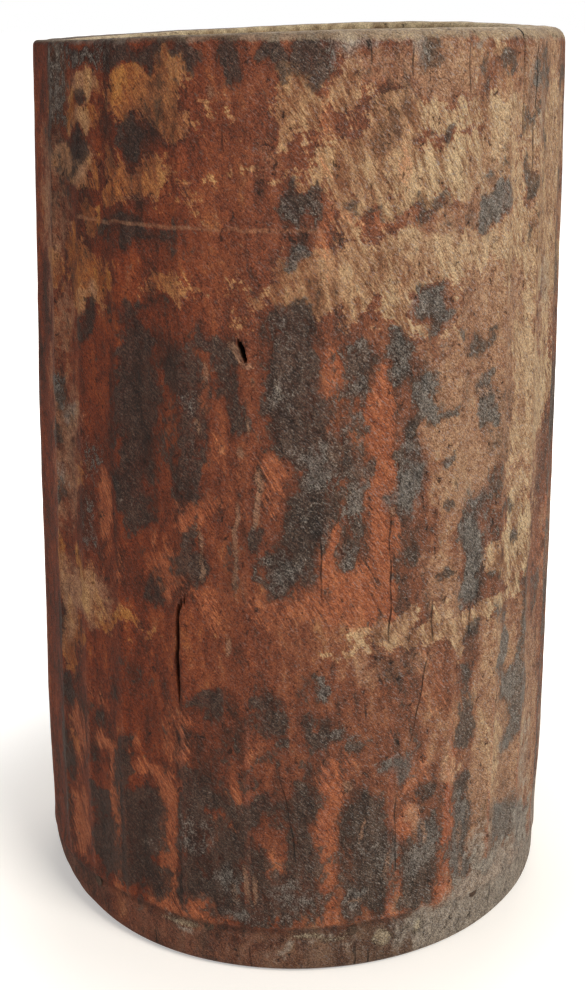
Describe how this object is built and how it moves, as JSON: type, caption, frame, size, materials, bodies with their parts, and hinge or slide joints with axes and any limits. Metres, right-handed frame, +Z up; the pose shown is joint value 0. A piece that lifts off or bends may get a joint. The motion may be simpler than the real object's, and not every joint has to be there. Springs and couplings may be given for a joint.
{
  "type": "butter pot",
  "caption": "Tall hollowed trunk pot with shallow upright gouge flutes, a plain foot band, a slanting rim and a pegged, wax-sealed base board.",
  "frame": {"origin": "centre of the pot's footprint on the surface that it stands on", "axes": "+Z up along the pot's axis, -Y towards the viewer of the picture, +X to the right in it"},
  "size_m": [0.2607, 0.2613, 0.4234],
  "materials": {
    "trunk_wood": "red-brown ochre and dark greasy patina, worn tan in bands, satin",
    "board_wood": "grey-brown dry end-grain board, matt",
    "peg_wood": "dark whittled hardwood, matt",
    "wax": "dark beeswax and resin, soft sheen"
  },
  "bodies": {
    "root": {"pot_body": "trunk_wood", "base_disc": "board_wood", "wax_seal": "wax", "base_peg_01": "peg_wood", "base_peg_02": "peg_wood", "base_peg_03": "peg_wood", "base_peg_04": "peg_wood", "base_peg_05": "peg_wood", "base_peg_06": "peg_wood", "base_peg_07": "peg_wood", "base_peg_08": "peg_wood", "base_peg_09": "peg_wood", "base_peg_10": "peg_wood", "base_peg_11": "peg_wood", "base_peg_12": "peg_wood"}
  },
  "joints": []
}
